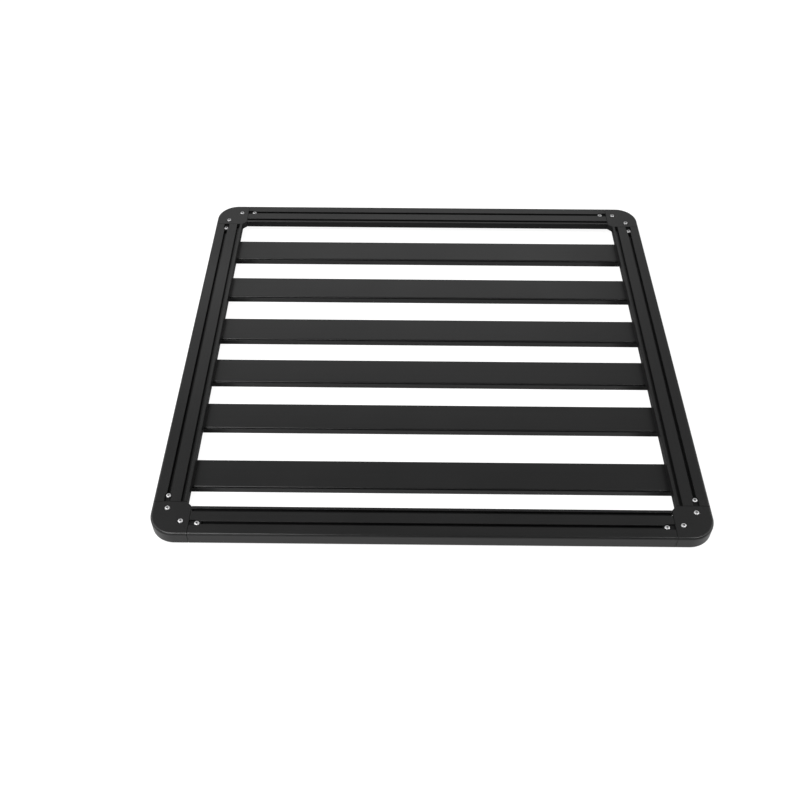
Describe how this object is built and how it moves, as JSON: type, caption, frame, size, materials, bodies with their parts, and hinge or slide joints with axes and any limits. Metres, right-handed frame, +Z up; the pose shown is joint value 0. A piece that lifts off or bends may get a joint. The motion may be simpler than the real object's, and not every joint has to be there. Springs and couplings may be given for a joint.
{
  "type": "platform roof rack",
  "caption": "Flat platform roof rack: slotted perimeter rails joined by rounded corner castings, with flat cross slats bolted under the rails' inner flanges.",
  "frame": {"origin": "centre of the footprint, on the plane of the slats' undersides", "axes": "+X to the rack's right along the slats, +Y to its rear, +Z up"},
  "size_m": [1.25, 1.2, 0.038],
  "materials": {
    "rail_coat": "satin black powder coat",
    "casting_coat": "satin black powder coat on a casting",
    "slat_coat": "satin black powder coat",
    "dark_plate": "black plated steel",
    "stainless": "plain stainless steel"
  },
  "bodies": {
    "root": {"front_rail": "rail_coat", "rear_rail": "rail_coat", "left_rail": "rail_coat", "right_rail": "rail_coat", "front_left_corner_casting": "casting_coat", "front_left_joining_plate": "dark_plate", "front_right_corner_casting": "casting_coat", "front_right_joining_plate": "dark_plate", "rear_right_corner_casting": "casting_coat", "rear_right_joining_plate": "dark_plate", "rear_left_corner_casting": "casting_coat", "rear_left_joining_plate": "dark_plate", "slat_1": "slat_coat", "slat_1_left_tee_nut": "stainless", "slat_1_right_tee_nut": "stainless", "slat_2": "slat_coat", "slat_2_left_tee_nut": "stainless", "slat_2_right_tee_nut": "stainless", "slat_3": "slat_coat", "slat_3_left_tee_nut": "stainless", "slat_3_right_tee_nut": "stainless", "slat_4": "slat_coat", "slat_4_left_tee_nut": "stainless", "slat_4_right_tee_nut": "stainless", "slat_5": "slat_coat", "slat_5_left_tee_nut": "stainless", "slat_5_right_tee_nut": "stainless", "slat_6": "slat_coat", "slat_6_left_tee_nut": "stainless", "slat_6_right_tee_nut": "stainless"}
  },
  "joints": []
}
